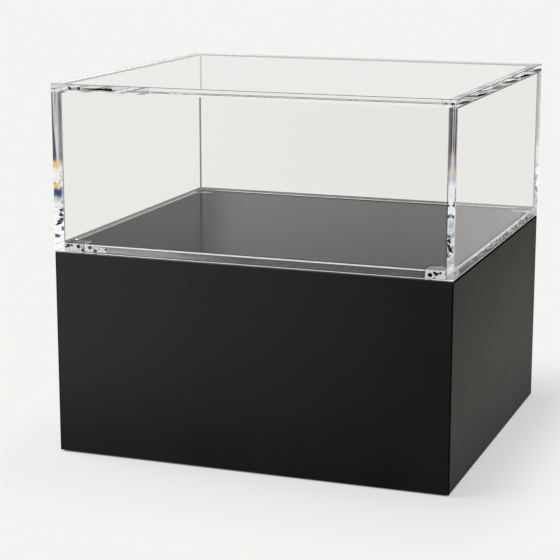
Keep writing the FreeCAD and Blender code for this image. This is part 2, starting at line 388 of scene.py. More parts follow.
@dataclass(frozen=True)
class SeamGlueAndPaintedLight:
    """The cured glue in a bonded seam: a clear film with streaks and tiny bubbles, and painted light of the edges.

    Most films also carry painted light: highlights, amber and blue glints, and dark reflections as lines and specks.
    line is the width of the dark lines at the film's two edges, bright the ends of an upright film's painted
    highlight, fringe the strength of its painted warm and cold glints at those ends, clear_foot the part at the foot
    with no painted specks, milk the share of the film that is cloudy or silvery, and tones the greys of a bead.
    """

    name: str
    kind: Film
    strength: float = 1.0
    line: float = 0.0
    bright: Pair = (0.40, 0.57)
    fringe: Pair = (1.0, 1.0)
    clear_foot: float = 0.0
    milk: float = 0.0
    tones: Pair = (0.40, 0.52)

    def material(self) -> bpy.types.Material:
        """Return the film's material, a filter that follows the seam's own map."""
        material, blank = new_material(self.name)
        nodes = SeamTree(blank.tree)
        pattern = getattr(self, self.kind.value)(nodes)
        if self.strength < 1.0:
            pattern = nodes.blend(self.strength, CLEAR, pattern)
        film = nodes.add("ShaderNodeBsdfTransparent", {"Color": pattern})
        if self.milk:
            if self.kind is Film.CLOUD:
                white = nodes.add("ShaderNodeBsdfDiffuse", {"Color": MILK_WHITE})
            else:
                white = nodes.add("ShaderNodeBsdfGlossy", {"Color": SILVER_WHITE, "Roughness": 0.35})
            cloudy = nodes.times(self.silver(nodes), self.milk)
            unmarked = nodes.math("GREATER_THAN", pattern, 0.5)
            film = nodes.mixed(nodes.times(cloudy, unmarked), film, white)
        nodes.surface(film)
        return material

    def silver(self, nodes: SeamTree) -> Socket:
        """Return how cloudy or silvery a film is from place to place.

        Args:
            nodes: The film's tree. Its along is the way along the film, as a share of it, and its across is the way
                up the film.

        Returns:
            The silvery share, before the film's own strength.
        """
        along, across = nodes.along, nodes.across
        clouds = nodes.noise(nodes.stretched(nodes.spot, (9.0, 2.0, 1.0)), 1.0, 2.0)
        if self.kind is Film.CLOUD:
            milky = nodes.band(along, 0.10, 0.50, 5.5, 1.0)
            return nodes.times(nodes.band(clouds, 0.2, 0.8, 0.7, 1.3), milky)
        if self.kind is Film.FLECK:
            return nodes.band(clouds, 0.25, 0.45, 0.75, 1.0)
        lean = nodes.add("ShaderNodeCombineXYZ", {
            "X": nodes.math("MULTIPLY_ADD", along, 16.0, nodes.times(across, 2.2)),
            "Y": nodes.times(across, 0.8)}).outputs[0]
        streaks = nodes.times(nodes.band(nodes.noise(lean, 1.0, 0.0), 0.53, 0.57), nodes.band(across, 0.20, 0.40))
        flecks = nodes.band(nodes.noise(nodes.stretched(nodes.spot, (44.0, 2.8, 1.0)), 1.0, 1.0), 0.50, 0.56)
        back = nodes.times(flecks, nodes.band(along, 0.30, 0.60))
        foot = nodes.band(across, 0.10, 0.18, 0.45, 0.14)
        return nodes.math("MAXIMUM", nodes.math("MAXIMUM", streaks, back), foot)

    def glint(self, nodes: SeamTree, height: Socket, middle: float, half: float, side: Socket, share: float) -> Socket:
        """Return the strength of a coloured glint at a height.

        Args:
            nodes: The film's tree.
            height: The height above the foot.
            middle: The glint's own height.
            half: How far it reaches above and below.
            side: Where it lies across the film.
            share: Its strength at the middle.

        Returns:
            The glint's strength.
        """
        return nodes.times(nodes.fade(nodes.off(height, middle), 0.0, half, share), side)

    def ground(self, nodes: SeamTree) -> Socket:
        """Return a clear film's colour with a grey line along each of its two edges."""
        edge = nodes.band(nodes.off(nodes.across, 0.5), 0.5 - self.line, 0.5 - 0.6 * self.line)
        return nodes.blend(edge, CLEAR, EDGE_GREY)

    def painted_specks(self, nodes: SeamTree, counts: Pair, share: float) -> Socket:
        """Return a clear film with small uneven dark and bluish specks of painted reflection.

        Args:
            nodes: The film's tree.
            counts: How many specks fit along and across.
            share: The share of the places that hold one.

        Returns:
            The film's colour.
        """
        grid = nodes.stretched(nodes.spot, (*counts, 1.0))
        drift = nodes.add("ShaderNodeTexNoise", {"Vector": grid, "Scale": 1.6, "Detail": 2.0}).outputs["Color"]
        bent = nodes.add("ShaderNodeVectorMath", {0: drift, 1: (1.1, 1.1, 0.0), 2: grid}, operation="MULTIPLY_ADD")
        cells = nodes.add("ShaderNodeTexVoronoi", {
            "Vector": bent.outputs[0], "Scale": 1.0, "Randomness": 0.9}, feature="F1")
        pick = nodes.add("ShaderNodeSeparateColor", {0: cells.outputs["Color"]}).outputs
        near = nodes.fade(cells.outputs["Distance"], 0.38, 0.46)
        mark = nodes.times(near, nodes.math("LESS_THAN", pick[0], share))
        speck_tone = nodes.ramp(pick[1], [
            (0.0, (0.05, 0.05, 0.06)), (0.50, (0.16, 0.20, 0.27)), (0.80, (0.24, 0.34, 0.50))], steps=True)
        return nodes.blend(mark, CLEAR, speck_tone)

    def upright(self, nodes: SeamTree) -> Socket:
        """Colour an upright seam with painted light: grey lines above, a highlight mid-height, dark specks at the foot.

        Args:
            nodes: The film's tree. Its along is the height above the foot, as a share of the seam, and its across
                is the way from the outer to the inner corner.

        Returns:
            The film's colour.
        """
        along, across = nodes.along, nodes.across
        low, high = self.bright
        warm, cold = self.fringe
        streaks = nodes.noise(nodes.stretched(nodes.spot, (1.2, 7.0, 1.0)), 1.0, 3.0)
        ragged = nodes.noise(nodes.stretched(nodes.spot, (2.0, 1.6, 1.0)), 1.0, 2.0)
        height = nodes.math("SUBTRACT", nodes.math("MULTIPLY_ADD", ragged, 0.08, along), 0.04)
        # The film's tone by height: clear at the foot and in the bright run, cold just below it, grey above it.
        shade = 1.0 - 0.30 * cold
        tone = nodes.ramp(height, [
            (0.0, CLEAR), (low - 0.13, CLEAR), (low - 0.06, (shade, shade + 0.02, shade + 0.05)),
            (low - 0.01, (0.90, 0.91, 0.93)), (low + 0.01, CLEAR), (high, CLEAR), (high + 0.045, (0.88, 0.87, 0.86)),
            (0.80, (0.86, 0.86, 0.87)), (1.0, (0.92, 0.92, 0.92))])
        # Above the run: grey lines, bolder at both edges, a warm stripe near the inner one, and blue along the outer.
        upper = nodes.band(along, high - 0.02, high + 0.08)
        line = nodes.times(nodes.band(streaks, 0.46, 0.60), 0.32)
        rims = nodes.band(nodes.off(across, 0.5), 0.32, 0.42)
        lines = nodes.times(nodes.math("MAXIMUM", rims, line), upper)
        stripe = nodes.times(nodes.fade(nodes.off(across, 0.76), 0.06, 0.12, 0.75), upper)
        lined = nodes.blend(stripe, nodes.blend(lines, tone, LINE_GREY), WARM_GREY)
        beside = nodes.math("SUBTRACT", across, nodes.band(along, high, 0.95, 0.42, 0.12))
        run = nodes.times(nodes.fade(beside, -0.10, 0.02, cold), upper)
        blue_run = nodes.blend(run, lined, GLINT_BLUE)
        # At the run's ends, painted glints: one blue blot below it, and an amber glint at each end.
        outer = nodes.fade(across, 0.45, 0.80)
        wide = nodes.band(across, 0.70, 0.95, 1.0, 0.2)
        blot = self.glint(nodes, height, low - 0.040, 0.040, wide, 1.4 * cold)
        blue = nodes.blend(blot, blue_run, DEEP_BLUE)
        first = self.glint(nodes, height, high + 0.018, 0.034, outer, 1.2 * warm)
        second = self.glint(nodes, height, low + 0.006, 0.026, outer, 1.1 * warm * cold)
        amber = nodes.blend(nodes.math("MAXIMUM", first, second), blue, AMBER)
        # Painted dark specks in the foot, above the part that stays clear.
        foot = nodes.fade(along, low - 0.13, low - 0.07)
        if self.clear_foot:
            foot = nodes.times(foot, nodes.band(along, self.clear_foot - 0.02, self.clear_foot))
        return nodes.blend(foot, amber, self.painted_specks(nodes, (29.0, 1.2), 0.80))

    def clean(self, nodes: SeamTree) -> Socket:
        """Colour a clean seam: clear, with the odd small bubble near its ends.

        Args:
            nodes: The film's tree. Its along is the way along the seam, as a share of it, and its across is the way
                from the outer to the inner edge.

        Returns:
            The film's colour.
        """
        bubbles = nodes.add("ShaderNodeTexVoronoi", {
            "Vector": nodes.stretched(nodes.spot, (24.0, 1.0, 1.0)), "Scale": 1.0}, feature="F1")
        dot = nodes.fade(bubbles.outputs["Distance"], 0.03, 0.05)
        ends = nodes.band(nodes.off(nodes.along, 0.5), 0.40, 0.46)
        return nodes.blend(nodes.times(dot, ends), self.ground(nodes), BUBBLE_BLACK)

    def marked(self, nodes: SeamTree) -> Socket:
        """Colour the front seam: two bubbles and a dark taper near its left end, a bubble between lines at its right.

        Args:
            nodes: The film's tree. Its along is the way along the seam, as a share of it, and its across is the way
                from the outer to the inner edge.

        Returns:
            The film's colour.
        """
        along = nodes.along
        taper_start, taper_length = 0.081, 0.078
        lift = nodes.math("SUBTRACT", nodes.across, 0.5)
        rise = nodes.math("POWER", nodes.times(lift, 1.0 / 0.20), 2.0)
        # The taper widens along its way, with a painted amber glint beside its inner edge.
        way = nodes.times(nodes.math("SUBTRACT", along, taper_start), 1.0 / taper_length)
        within = nodes.times(nodes.math("GREATER_THAN", way, 0.0), nodes.math("LESS_THAN", way, 1.0))
        half = nodes.math("MULTIPLY_ADD", way, 0.15, 0.04)
        past = nodes.math("SUBTRACT", lift, half)
        inside = nodes.times(nodes.math("GREATER_THAN", past, 0.0), within)
        glow = nodes.times(nodes.fade(past, 0.0, 0.25, 0.6), inside)
        marks = nodes.times(nodes.math("LESS_THAN", nodes.math("ABSOLUTE", lift), half), within)
        # Two bubbles at the left and a smaller one at the right, each by its place and half its width.
        for middle, size in ((0.047, 0.0040), (0.0706, 0.0040), (0.974, 0.0018)):
            off = nodes.times(nodes.math("SUBTRACT", along, middle), 1.0 / size)
            round_off = nodes.math("ADD", nodes.math("POWER", off, 2.0), rise)
            marks = nodes.math("MAXIMUM", marks, nodes.fade(round_off, 0.6, 1.2))
        # A thin line to each side of the right bubble.
        beside = nodes.off(nodes.off(along, 0.976), 0.009)
        cross = nodes.times(nodes.fade(beside, 0.0005, 0.0012), 0.4)
        warmed = nodes.blend(glow, self.ground(nodes), PALE_AMBER)
        lined = nodes.blend(cross, warmed, (0.30, 0.30, 0.32))
        return nodes.blend(marks, lined, TAPER_BLACK)

    def wedge(self, nodes: SeamTree) -> Socket:
        """Colour an edge with painted reflections: long dark wedges that run down to its lower line, paler ones above.

        Args:
            nodes: The film's tree. Its along is the way along the edge, as a share of it, and its across is the way
                up the edge.

        Returns:
            The film's colour.
        """
        colour = nodes.blend(nodes.fade(nodes.across, 0.05, 0.12), CLEAR, (0.45, 0.45, 0.46))
        # Pale wedges above, then dark ones below: how many, how far along they start, how high, how thick, which tones.
        for count, shift, start, half, stops in (
                (8.0, 0.35, 0.92, 0.13, [(0.0, (0.50, 0.50, 0.52)), (0.5, (0.82, 0.82, 0.83))]),
                (5.6, 0.10, 0.56, 0.17, [(0.0, (0.13, 0.13, 0.14)), (0.5, (0.25, 0.25, 0.26)),
                                         (0.85, (0.50, 0.50, 0.52))])):
            run = nodes.math("MULTIPLY_ADD", nodes.along, count, shift)
            pick = nodes.add("ShaderNodeTexWhiteNoise", {"W": nodes.math("FLOOR", run)}, noise_dimensions="1D")
            part = nodes.math("FRACT", run)
            middle = nodes.math("MULTIPLY_ADD", part, -0.42, start)
            swell = nodes.times(nodes.math("SINE", nodes.times(part, math.pi)), half)
            off = nodes.math("SUBTRACT", nodes.off(nodes.across, middle), swell)
            tone = nodes.ramp(pick.outputs["Value"], stops, steps=True)
            colour = nodes.blend(nodes.fade(off, -0.06, 0.03), colour, tone)
        return colour

    def step(self, nodes: SeamTree) -> Socket:
        """Colour the joint just under the top face in slanted white, grey and dark steps of painted reflection.

        Args:
            nodes: The film's tree. Its along is the way along the joint, as a share of it, and its across is the
                way from the outer to the inner edge.

        Returns:
            The film's colour.
        """
        lean = nodes.math("MULTIPLY_ADD", nodes.along, 14.0, nodes.times(nodes.across, 0.6))
        level = nodes.add("ShaderNodeTexWhiteNoise", {"W": nodes.math("FLOOR", lean)}, noise_dimensions="1D")
        steps = nodes.ramp(level.outputs["Value"], [
            (0.0, (0.05, 0.05, 0.06)), (0.30, STEP_GREY), (0.52, CLEAR)], steps=True)
        return nodes.blend(nodes.band(nodes.across, 0.86, 0.94), steps, STEP_GREY)

    def dot(self, nodes: SeamTree) -> Socket:
        """Colour the joint in a top corner: clear, with one round bubble in its middle.

        Args:
            nodes: The film's tree. Its along is the way along the corner, as a share of it, and its across is the
                way up it.

        Returns:
            The film's colour.
        """
        off = [nodes.math("POWER", nodes.math("SUBTRACT", axis, 0.5), 2.0) for axis in (nodes.along, nodes.across)]
        size = nodes.math("ADD", *off)
        return nodes.blend(nodes.fade(size, 0.020, 0.036), CLEAR, DOT_BLACK)

    def patch(self, nodes: SeamTree) -> Socket:
        """Colour a bonded strip with painted reflections: fine lines at its front, more and more specks to the back.

        Args:
            nodes: The film's tree. Its along is the way along the strip, as a share of it, and its across is the
                way up the strip.

        Returns:
            The film's colour.
        """
        streaks = nodes.noise(nodes.stretched(nodes.spot, (5.0, 8.0, 1.0)), 1.0, 3.0)
        lines = nodes.blend(nodes.band(streaks, 0.44, 0.52), CLEAR, STREAK_GREY)
        flecks = self.painted_specks(nodes, (27.0, 1.6), 0.75)
        return nodes.blend(nodes.band(nodes.along, 0.05, 0.45), lines, flecks)

    def fleck(self, nodes: SeamTree) -> Socket:
        """Colour a bonded face with bold dark flecks of painted reflection.

        Args:
            nodes: The film's tree. Its along is the way along the face, as a share of it, and its across is the way
                up the face.

        Returns:
            The film's colour.
        """
        where = nodes.add("ShaderNodeVectorMath", {0: nodes.place(), 1: (61.0, 61.0, 0.0)}, operation="DOT_PRODUCT")
        spread = nodes.add("ShaderNodeCombineXYZ", {
            "X": nodes.math("MULTIPLY_ADD", nodes.along, 2.0, where.outputs["Value"]),
            "Y": nodes.times(nodes.across, 1.5)}).outputs[0]
        cells = nodes.add("ShaderNodeTexVoronoi", {"Vector": spread, "Scale": 1.0}, feature="F1",
                          voronoi_dimensions="2D")
        size = nodes.add("ShaderNodeSeparateColor", {0: cells.outputs["Color"]}).outputs[0]
        rim = nodes.math("SUBTRACT", cells.outputs["Distance"], nodes.band(size, 0.2, 1.0, 0.10, 0.46))
        return nodes.blend(nodes.fade(rim, -0.05, 0.0), CLEAR, FLECK_BLACK)

    def cloud(self, nodes: SeamTree) -> Socket:
        """Colour a thin bond with faint streaks along it.

        Args:
            nodes: The film's tree. Its along is the way along the bond, as a share of it, and its across is the way
                up the bond.

        Returns:
            The film's colour.
        """
        streaks = nodes.noise(nodes.stretched(nodes.spot, (14.0, 3.0, 1.0)), 1.0, 3.0)
        return nodes.blend(nodes.band(streaks, 0.35, 0.65), CLEAR, CLOUD_GREY)

    def fillet(self, nodes: SeamTree) -> Socket:
        """Colour the thin run of glue that stands in an inner corner.

        Args:
            nodes: The film's tree. Its along is the way along the corner, as a share of it, and its across is the
                way across the run.

        Returns:
            The film's colour.
        """
        runs = nodes.noise(nodes.stretched(nodes.spot, (8.0, 0.5, 1.0)), 1.0, 2.0)
        dark, pale = ((tone,) * 3 for tone in self.tones)
        return nodes.blend(nodes.band(runs, 0.3, 0.7), dark, pale)


@dataclass(frozen=True)
class FrostedAcrylic:
    """A sawn or scraped acrylic face with fine scratches, which may gleam, or stay clear seen from inside."""

    name: str = "frosted_acrylic"
    white: Colour = MILK_WHITE
    grey: Colour = (0.72, 0.72, 0.71)
    gleam: float = 0.0
    clear_inside: bool = False

    def material(self) -> bpy.types.Material:
        """Return the frosted face's material."""
        material, nodes = new_material(self.name)
        scratch = nodes.noise(nodes.place(), 420.0, 4.0, 0.6)
        inputs = {
            "Base Color": nodes.blend(nodes.band(scratch, 0.35, 0.65), self.white, self.grey),
            "Roughness": nodes.band(scratch, 0.3, 0.7, 0.55, 0.75),
            "IOR": ACRYLIC_IOR,
            "Normal": nodes.bump(scratch, 0.2, 0.0002),
        }
        face = nodes.add("ShaderNodeBsdfPrincipled", inputs)
        if self.gleam:
            mirror = nodes.add("ShaderNodeBsdfGlossy", {"Color": (0.97, 0.97, 0.965), "Roughness": 0.20})
            face = nodes.mixed(self.gleam, face, mirror)
        if self.clear_inside:
            glass = nodes.add("ShaderNodeBsdfPrincipled", {
                "Roughness": 0.0, "IOR": ACRYLIC_IOR, "Transmission Weight": 1.0})
            face = nodes.mixed(nodes.behind(), face, glass)
        nodes.surface(face)
        return material


@dataclass(frozen=True)
class BlackLacquer:
    """Sprayed satin black lacquer, with the faint cloudiness and orange peel of a sprayed panel."""

    name: str
    deep: Colour = (0.0052, 0.0052, 0.0052)
    pale: Colour = (0.0085, 0.0084, 0.0082)
    sheen: Pair = (0.33, 0.41)
    shine_level: float = 0.40
    peel_scale: float = 520.0
    peel: float = 0.05
    peel_depth: float = 0.0004
    ior: float = 1.5

    def material(self) -> bpy.types.Material:
        """Return the lacquer's material."""
        material, nodes = new_material(self.name)
        place = nodes.place()
        cloud = nodes.noise(place, 5.0, 4.0, 0.55)
        mottle = nodes.noise(place, 60.0, 3.0)
        base = nodes.blend(nodes.band(cloud, 0.3, 0.7), self.deep, self.pale)
        sheen = nodes.band(nodes.math("MULTIPLY_ADD", mottle, 0.3, cloud), 0.35, 0.95, *self.sheen)
        inputs = {
            "Base Color": base,
            "Roughness": sheen,
            "IOR": self.ior,
            "Specular IOR Level": self.shine_level,
            "Normal": nodes.bump(nodes.noise(place, self.peel_scale, 2.0), self.peel, self.peel_depth),
        }
        nodes.surface(nodes.add("ShaderNodeBsdfPrincipled", inputs))
        return material


@dataclass(frozen=True)
class RawTimber:
    """Unfinished board or softwood that is only seen from below or with the case apart."""

    name: str
    pale: Colour = (0.50, 0.37, 0.24)
    dark: Colour = (0.36, 0.25, 0.15)
    grain: Grain | None = None

    def material(self) -> bpy.types.Material:
        """Return the timber's material, fibrous board unless a grain is given."""
        material, nodes = new_material(self.name)
        place = nodes.stretched(nodes.place(), self.grain.value if self.grain else (1.0, 1.0, 1.0))
        fibre = nodes.noise(place, 260.0 if self.grain else 700.0, 5.0, 0.65)
        tone = nodes.noise(place, 22.0, 3.0)
        share = nodes.math("MULTIPLY_ADD", tone, 0.5, nodes.times(fibre, 0.6))
        inputs = {
            "Base Color": nodes.blend(nodes.band(share, 0.35, 0.75), self.pale, self.dark),
            "Roughness": nodes.band(fibre, 0.3, 0.7, 0.70, 0.88),
            "Normal": nodes.bump(fibre, 0.25, 0.0004),
        }
        nodes.surface(nodes.add("ShaderNodeBsdfPrincipled", inputs))
        return material


@dataclass(frozen=True)
class ZincSteel:
    """Bright zinc plating on a steel screw."""

    name: str = "zinc_plated_steel"
    pale: Colour = (0.66, 0.67, 0.68)
    dull: Colour = (0.50, 0.50, 0.49)

    def material(self) -> bpy.types.Material:
        """Return the plating's material."""
        material, nodes = new_material(self.name)
        place = nodes.place()
        spangle = nodes.noise(place, 900.0, 3.0)
        inputs = {
            "Base Color": nodes.blend(spangle, self.pale, self.dull),
            "Metallic": 1.0,
            "Roughness": nodes.band(spangle, 0.3, 0.7, 0.24, 0.40),
            "Normal": nodes.bump(nodes.noise(place, 2500.0), 0.1, 0.0001),
        }
        nodes.surface(nodes.add("ShaderNodeBsdfPrincipled", inputs))
        return material


@dataclass(frozen=True)
class PadRubber:
    """Dull black rubber of a foot pad, dusted in spots."""

    name: str = "pad_rubber"
    black: Colour = (0.018, 0.018, 0.018)
    dust: Colour = (0.05, 0.048, 0.045)

    def material(self) -> bpy.types.Material:
        """Return the rubber's material."""
        material, nodes = new_material(self.name)
        grit = nodes.noise(nodes.place(), 800.0, 4.0)
        inputs = {
            "Base Color": nodes.blend(nodes.band(grit, 0.5, 0.8), self.black, self.dust),
            "Roughness": nodes.band(grit, 0.3, 0.7, 0.72, 0.90),
            "Normal": nodes.bump(grit, 0.3, 0.0002),
        }
        nodes.surface(nodes.add("ShaderNodeBsdfPrincipled", inputs))
        return material


@dataclass(frozen=True)
class PaleFloor:
    """White studio floor that keeps the case's shadow near it and goes over into the backdrop.

    half_width and half_depth are the case's own. glow_near is the backdrop's share close to it, shadow_reach and
    front_reach how far the shadow runs beside it and in front of it, and edge_blend how far under it the backdrop's
    glow fades out. The fields after these say where the floor is dim or warm when the case mirrors it.
    """

    name: str = "studio_floor"
    paint: Colour = (0.86, 0.855, 0.845)
    backdrop: Colour = BACKDROP
    half_width: float = 0.25
    half_depth: float = 0.225
    glow_near: float = 0.61
    shadow_reach: float = 0.135
    front_reach: float = 0.25
    edge_blend: float = 0.006
    mirror_front: float = 0.08
    mirror_start: float = -0.34
    mirror_end: float = 0.165
    mirror_slant: float = 0.35
    mirror_right: tuple[Pair, ...] = (
        (0.25, 0.28), (0.30, 0.37), (0.35, 0.47), (0.40, 0.48), (0.47, 0.33), (0.53, 0.22), (0.60, 0.20))
    right_fade: Pair = (-0.10, 0.15)
    side_fade: Pair = (-0.32, -0.12)
    mirror_wall: Pair = (0.45, 0.88)
    wall_fade: Pair = (0.548, 0.560)
    near_reach: float = 0.32
    near_level: float = 0.30
    near_fade: Pair = (0.10, 0.30)
    mirror_warm: Colour = (0.905, 0.886, 0.800)
    warm_fade: Pair = (0.15, 0.45)

    def material(self) -> bpy.types.Material:
        """Return the floor's material: paint that takes the shadow, and the backdrop's own level over it."""
        material, nodes = new_material(self.name)
        axes = nodes.add("ShaderNodeSeparateXYZ", {0: nodes.place()}).outputs
        path = nodes.add("ShaderNodeLightPath").outputs
        past = [nodes.math("SUBTRACT", nodes.math("ABSOLUTE", axis), half)
                for axis, half in ((axes[0], self.half_width), (axes[1], self.half_depth))]
        beside, before = (nodes.math("MAXIMUM", gap, 0.0) for gap in past)
        gap = nodes.add("ShaderNodeCombineXYZ", {
            "X": beside, "Y": nodes.times(before, self.shadow_reach / self.front_reach)}).outputs[0]
        reach = nodes.add("ShaderNodeVectorMath", {0: gap}, operation="LENGTH").outputs["Value"]
        outside = nodes.band(nodes.math("MAXIMUM", *past), -self.edge_blend, 0.0)
        glow = nodes.times(nodes.band(reach, 0.0, self.shadow_reach, self.glow_near, 1.0), outside)
        mirrored = nodes.math("SUBTRACT", path["Is Glossy Ray"], path["Is Transmission Ray"])
        near = nodes.math("MAXIMUM", nodes.band(reach, 0.0, self.near_reach, self.near_level, 1.0),
                          nodes.band(axes[0], *self.near_fade))
        dimmed = nodes.times(self.mirror_level(nodes, axes[0], axes[1], path["Is Singular Ray"]), near)
        satin = nodes.math("SUBTRACT", mirrored, path["Is Singular Ray"])
        warm = nodes.times(nodes.math("MAXIMUM", satin, 0.0), nodes.band(axes[0], *self.warm_fade))
        share = nodes.math("MAXIMUM", nodes.times(glow, path["Is Camera Ray"]), path["Is Glossy Ray"])
        paint = nodes.add("ShaderNodeBsdfDiffuse", {"Color": self.paint})
        backdrop = nodes.add("ShaderNodeEmission", {
            "Color": nodes.blend(warm, self.backdrop, self.mirror_warm),
            "Strength": nodes.blend(mirrored, CLEAR, dimmed)})
        nodes.surface(nodes.mixed(share, paint, backdrop))
        return material

    def mirror_level(self, nodes: NodeTree, across: Socket, deep: Socket, sharp: Socket) -> Socket:
        """Return how bright each place of the floor is when the case mirrors it.

        Args:
            nodes: The floor's tree.
            across: The place along X.
            deep: The place along Y.
            sharp: 1 for rays from a polished face, 0 for rays from a satin one.

        Returns:
            The level, from 0 to 1.
        """
        slant = nodes.math("SUBTRACT", nodes.times(deep, self.mirror_slant), across)
        front = nodes.add("ShaderNodeMapRange", {
            "Value": slant, "From Min": self.mirror_start, "From Max": self.mirror_end,
            "To Min": self.mirror_front, "To Max": 1.0}).outputs[0]
        satin = nodes.ramp(across, [(spot, (tone,) * 3) for spot, tone in self.mirror_right])
        polished = nodes.band(across, *self.wall_fade, *self.mirror_wall)
        right = nodes.math("MAXIMUM", nodes.between(sharp, satin, polished),
                           nodes.fade(across, *self.right_fade))
        return nodes.between(nodes.band(deep, *self.side_fade), front, right)


def link_mesh(name: str, form: bmesh.types.BMesh, materials: list[bpy.types.Material]) -> bpy.types.Object:
    """Turn a finished form into an object at the origin.

    Args:
        name: The piece's name.
        form: The form, which is used up.
        materials: Its material slots, in order.

    Returns:
        The linked object.
    """
    bmesh.ops.recalc_face_normals(form, faces=form.faces)
    mesh = bpy.data.meshes.new(name)
    form.to_mesh(mesh)
    form.free()
    for material in materials:
        mesh.materials.append(material)
    piece = bpy.data.objects.new(name, mesh)
    bpy.context.scene.collection.objects.link(piece)
    return piece


def settle(piece: bpy.types.Object, body: Body, nodes: tuple[str, ...] = ()) -> None:
    """Tie a finished piece to its body and the CAD nodes it stands for.

    Args:
        piece: The finished piece.
        body: The body it moves with.
        nodes: The CAD nodes that it replaces.
    """
    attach(piece, body.value)
    if nodes:
        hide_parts(*nodes)
    LOG.info("%s: %d faces, rides on %s, stands for %d nodes",
             piece.name, len(piece.data.polygons), body.value, len(nodes))


def dress(names: tuple[str, ...], material: bpy.types.Material) -> None:
    """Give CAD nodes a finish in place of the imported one.

    Args:
        names: The nodes.
        material: Their finish.
    """
    for name in names:
        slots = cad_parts[name].material_slots
        for slot in slots:
            slot.material = material
        LOG.info("%s: CAD shape, %s", name, material.name)


def slab(form: bmesh.types.BMesh, corners: list[Vector], thickness: Vector) -> None:
    """Add a flat slab to a form.

    Args:
        form: The form to add to.
        corners: The corners of one face, in order.
        thickness: The way from that face to the other.
    """
    near = [form.verts.new(corner) for corner in corners]
    far = [form.verts.new(corner + thickness) for corner in corners]
    count = len(corners)
    for index in range(count):
        after = (index + 1) % count
        form.faces.new((near[index], near[after], far[after], far[index]))
    form.faces.new(near)
    form.faces.new(list(reversed(far)))


def pane(start: Point, stop: Point) -> list[Vector]:
    """Return the corners of an upright pane.

    Args:
        start: Its lower corner at one end.
        stop: Its upper corner at the other end.

    Returns:
        The corners in order, the first two along its lower edge.
    """
    (x, y, low), (far_x, far_y, high) = start, stop
    return [Vector((x, y, low)), Vector((far_x, far_y, low)), Vector((far_x, far_y, high)), Vector((x, y, high))]


